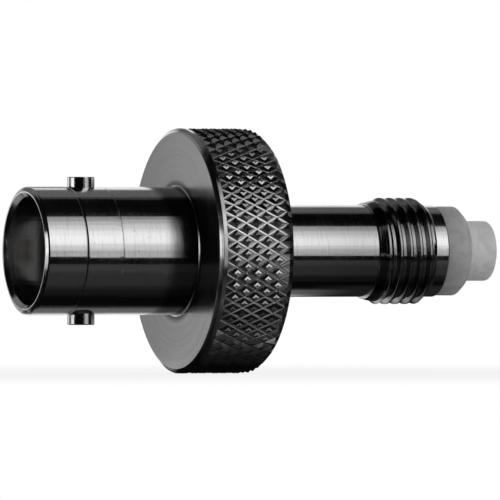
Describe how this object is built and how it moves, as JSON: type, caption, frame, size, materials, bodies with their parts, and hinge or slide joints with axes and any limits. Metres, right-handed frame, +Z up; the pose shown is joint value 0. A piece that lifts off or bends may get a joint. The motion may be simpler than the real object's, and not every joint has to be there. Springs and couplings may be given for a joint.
{
  "type": "coaxial adapter",
  "caption": "Straight coaxial adapter from a bayonet jack with an open mouth to a small threaded plug with a white nose, with a diamond-knurled grip ring in the middle.",
  "frame": {"origin": "centre of the bayonet mouth's rim, on the adapter's axis", "axes": "+X along the axis from the bayonet mouth to the plug's nose, +Z up through the upper bayonet stud"},
  "size_m": [0.0374, 0.0184, 0.0184],
  "materials": {
    "polished_nickel": "polished",
    "knurled_nickel": "satin",
    "white_insulator": "satin",
    "gold_contact": "polished"
  },
  "bodies": {
    "root": {"front_shell": "polished_nickel", "upper_stud": "polished_nickel", "lower_stud": "polished_nickel", "grip_ring": "knurled_nickel", "rear_shell": "polished_nickel", "front_insulator": "white_insulator", "rear_insulator": "white_insulator", "socket_contact": "gold_contact", "pin_contact": "gold_contact"}
  },
  "joints": []
}
